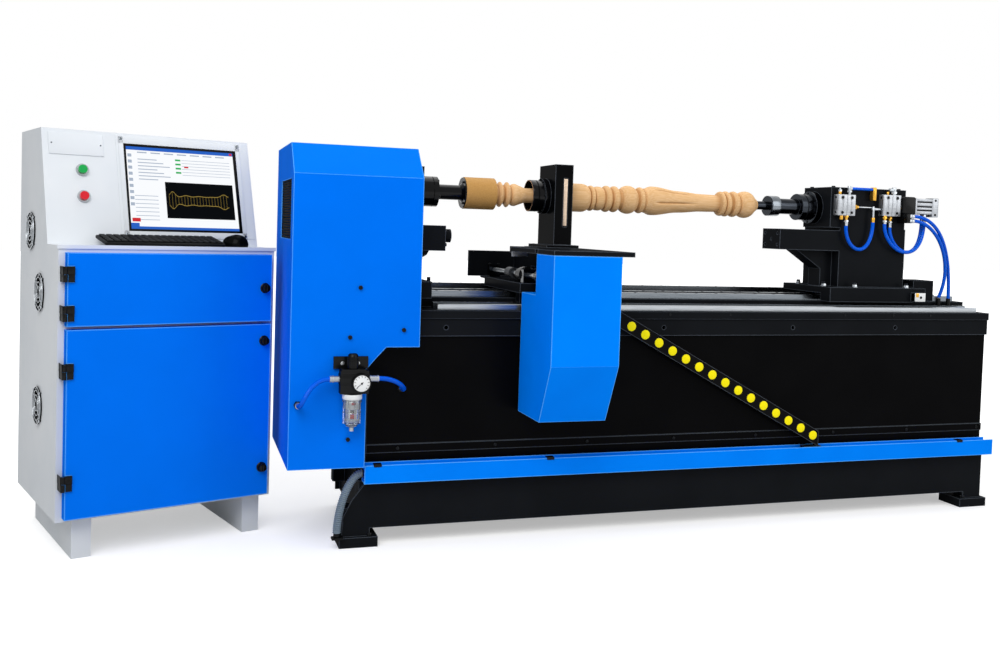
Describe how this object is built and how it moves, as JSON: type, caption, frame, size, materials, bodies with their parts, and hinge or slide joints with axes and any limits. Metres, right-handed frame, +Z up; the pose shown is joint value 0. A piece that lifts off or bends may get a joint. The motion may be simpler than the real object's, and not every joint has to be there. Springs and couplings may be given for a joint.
{
  "type": "cnc wood lathe with control cabinet",
  "caption": "Automatic wood turning lathe: black bed, blue covers, spindle, ring steady with cutter, sliding tailstock, air service unit and a grey control cabinet with screen and doors.",
  "frame": {"origin": "centre of the four anchor holes in the lathe's foot pads, on the floor plane", "axes": "+X along the bed from headstock to tailstock, +Y away from the operator, +Z up"},
  "size_m": [3.4301, 1.0059, 1.257],
  "materials": {
    "alu": "machined aluminium",
    "bed_black": "satin black paint",
    "belt_rubber": "black",
    "black_paint": "satin black paint",
    "black_plastic": "matt black",
    "black_steel_fastener": "black oxide",
    "blue_paint": "gloss blue powder coat",
    "blue_tube": "flexible polyurethane tube",
    "cast": "machined cast iron",
    "chrome": "polished",
    "clear_bowl": "clear polycarbonate",
    "dark_steel": "blackened steel",
    "green": "green",
    "grey_conduit": "ribbed grey conduit",
    "grey_paint": "light grey powder coat",
    "red": "red",
    "steel": "ground steel",
    "wood": "turned pale hardwood"
  },
  "bodies": {
    "bed": {"foot_pads": "black_paint", "base_frame": "black_paint", "bed_body": "bed_black", "bed_beam": "black_paint", "bed_strip": "dark_steel", "screws": "black_steel_fastener", "tray": "blue_paint", "clips": "black_plastic", "carriage_rails": "steel", "tail_rails": "steel", "x_rack": "steel", "head_base": "black_paint", "head_housing": "black_paint", "spindle_bearings": "steel", "head_arm": "black_paint", "spindle_motor": "dark_steel", "drive_belt": "belt_rubber", "head_cover": "blue_paint", "air_body": "black_plastic", "air_gauge": "chrome", "air_bowl": "clear_bowl", "air_fittings": "alu", "air_hoses": "blue_tube", "conduit": "grey_conduit", "cabinet_body": "grey_paint", "cabinet_panel": "grey_paint", "cabinet_electrics": "alu", "fan_frames": "black_plastic", "keyboard_mouse": "black_plastic", "button_bezels": "chrome", "body_hinges": "black_plastic"},
    "upper_door": {"upper_door": "blue_paint"},
    "lower_door": {"lower_door": "blue_paint"},
    "upper_latch": {"upper_latch": "black_plastic"},
    "middle_latch": {"middle_latch": "black_plastic"},
    "lower_latch": {"lower_latch": "black_plastic"},
    "fan_top": {"fan_top": "black_plastic"},
    "fan_mid": {"fan_mid": "black_plastic"},
    "fan_low": {"fan_low": "black_plastic"},
    "green_button": {"green_button": "green"},
    "red_button": {"red_button": "red"},
    "air_knob": {"air_knob": "black_plastic"},
    "spindle": {"spindle": "dark_steel", "workpiece": "wood"},
    "motor_pulley": {"motor_pulley": "alu"},
    "carriage": {"saddle": "cast", "carriage_cover": "blue_paint", "tool_post": "black_paint", "carriage_drives": "alu", "drag_arm": "black_paint"},
    "tool_slide": {"tool_slide": "cast"},
    "y_screw": {"y_screw": "steel"},
    "x_pinion": {"x_pinion": "steel"},
    "tailstock": {"tail_base": "black_paint", "tail_head": "black_paint", "tail_valves": "alu", "tail_hoses": "blue_tube", "tail_feed": "blue_tube"},
    "quill": {"quill": "steel"},
    "live_centre": {"live_centre": "steel"}
  },
  "joints": [
    {"name": "spindle_spin", "type": "hinge", "parent": "bed", "child": "spindle", "pos_m": [-1.23, -0.025, 1.112], "axis": [1, 0, 0], "continuous": true},
    {"name": "motor_spin", "type": "hinge", "parent": "bed", "child": "motor_pulley", "pos_m": [-1.23, -0.025, 0.62], "axis": [1, 0, 0], "continuous": true},
    {"name": "carriage_slide", "type": "slide", "parent": "bed", "child": "carriage", "axis": [1, 0, 0], "range_m": [-0.11, 0.7]},
    {"name": "pinion_spin", "type": "hinge", "parent": "carriage", "child": "x_pinion", "pos_m": [-0.53, -0.255, 0.7693], "axis": [0, 1, 0], "range_deg": [-390, 2400]},
    {"name": "tool_feed", "type": "slide", "parent": "carriage", "child": "tool_slide", "axis": [0, 1, 0], "range_m": [-0.055, 0]},
    {"name": "y_screw_spin", "type": "hinge", "parent": "carriage", "child": "y_screw", "pos_m": [-0.63, -0.255, 0.848], "axis": [0, 1, 0], "range_deg": [-2000, 10]},
    {"name": "tailstock_slide", "type": "slide", "parent": "bed", "child": "tailstock", "axis": [1, 0, 0], "range_m": [0, 0.075]},
    {"name": "quill_slide", "type": "slide", "parent": "tailstock", "child": "quill", "axis": [1, 0, 0], "range_m": [0, 0.08]},
    {"name": "live_centre_spin", "type": "hinge", "parent": "quill", "child": "live_centre", "pos_m": [-1.23, -0.025, 1.112], "axis": [1, 0, 0], "continuous": true},
    {"name": "upper_door_swing", "type": "hinge", "parent": "bed", "child": "upper_door", "pos_m": [-2.01302, -0.25038, 0.786], "axis": [0, 0, -1], "range_deg": [0, 110]},
    {"name": "lower_door_swing", "type": "hinge", "parent": "bed", "child": "lower_door", "pos_m": [-2.01302, -0.25038, 0.411], "axis": [0, 0, -1], "range_deg": [0, 110]},
    {"name": "upper_latch_turn", "type": "hinge", "parent": "upper_door", "child": "upper_latch", "pos_m": [-1.44985, -0.06784, 0.786], "axis": [-0.3132, 0.9497, 0], "range_deg": [0, 90]},
    {"name": "middle_latch_turn", "type": "hinge", "parent": "lower_door", "child": "middle_latch", "pos_m": [-1.44985, -0.06784, 0.62], "axis": [-0.3132, 0.9497, 0], "range_deg": [0, 90]},
    {"name": "lower_latch_turn", "type": "hinge", "parent": "lower_door", "child": "lower_latch", "pos_m": [-1.44985, -0.06784, 0.218], "axis": [-0.3132, 0.9497, 0], "range_deg": [0, 90]},
    {"name": "fan_top_spin", "type": "hinge", "parent": "bed", "child": "fan_top", "pos_m": [-2.13514, 0.12316, 0.944], "axis": [0.9497, 0.3132, 0], "continuous": true},
    {"name": "fan_mid_spin", "type": "hinge", "parent": "bed", "child": "fan_mid", "pos_m": [-2.09443, -0.0003, 0.762], "axis": [0.9497, 0.3132, 0], "continuous": true},
    {"name": "fan_low_spin", "type": "hinge", "parent": "bed", "child": "fan_low", "pos_m": [-2.09725, 0.00825, 0.419], "axis": [0.9497, 0.3132, 0], "continuous": true},
    {"name": "green_button_press", "type": "slide", "parent": "bed", "child": "green_button", "axis": [-0.299, 0.9068, -0.2972], "range_m": [0, 0.004], "stiffness_N_per_m": 500},
    {"name": "red_button_press", "type": "slide", "parent": "bed", "child": "red_button", "axis": [-0.299, 0.9068, -0.2972], "range_m": [0, 0.004], "stiffness_N_per_m": 500},
    {"name": "air_knob_turn", "type": "hinge", "parent": "bed", "child": "air_knob", "pos_m": [-1.214, -0.33, 0.59], "axis": [0, 0, 1], "range_deg": [0, 300]}
  ],
  "couplings": [
    {"joint": "motor_spin", "follows": "spindle_spin", "ratio": 1},
    {"joint": "live_centre_spin", "follows": "spindle_spin", "ratio": 1},
    {"joint": "pinion_spin", "follows": "carriage_slide", "rad_per_m": 58.824},
    {"joint": "y_screw_spin", "follows": "tool_feed", "rad_per_m": 628.32}
  ]
}
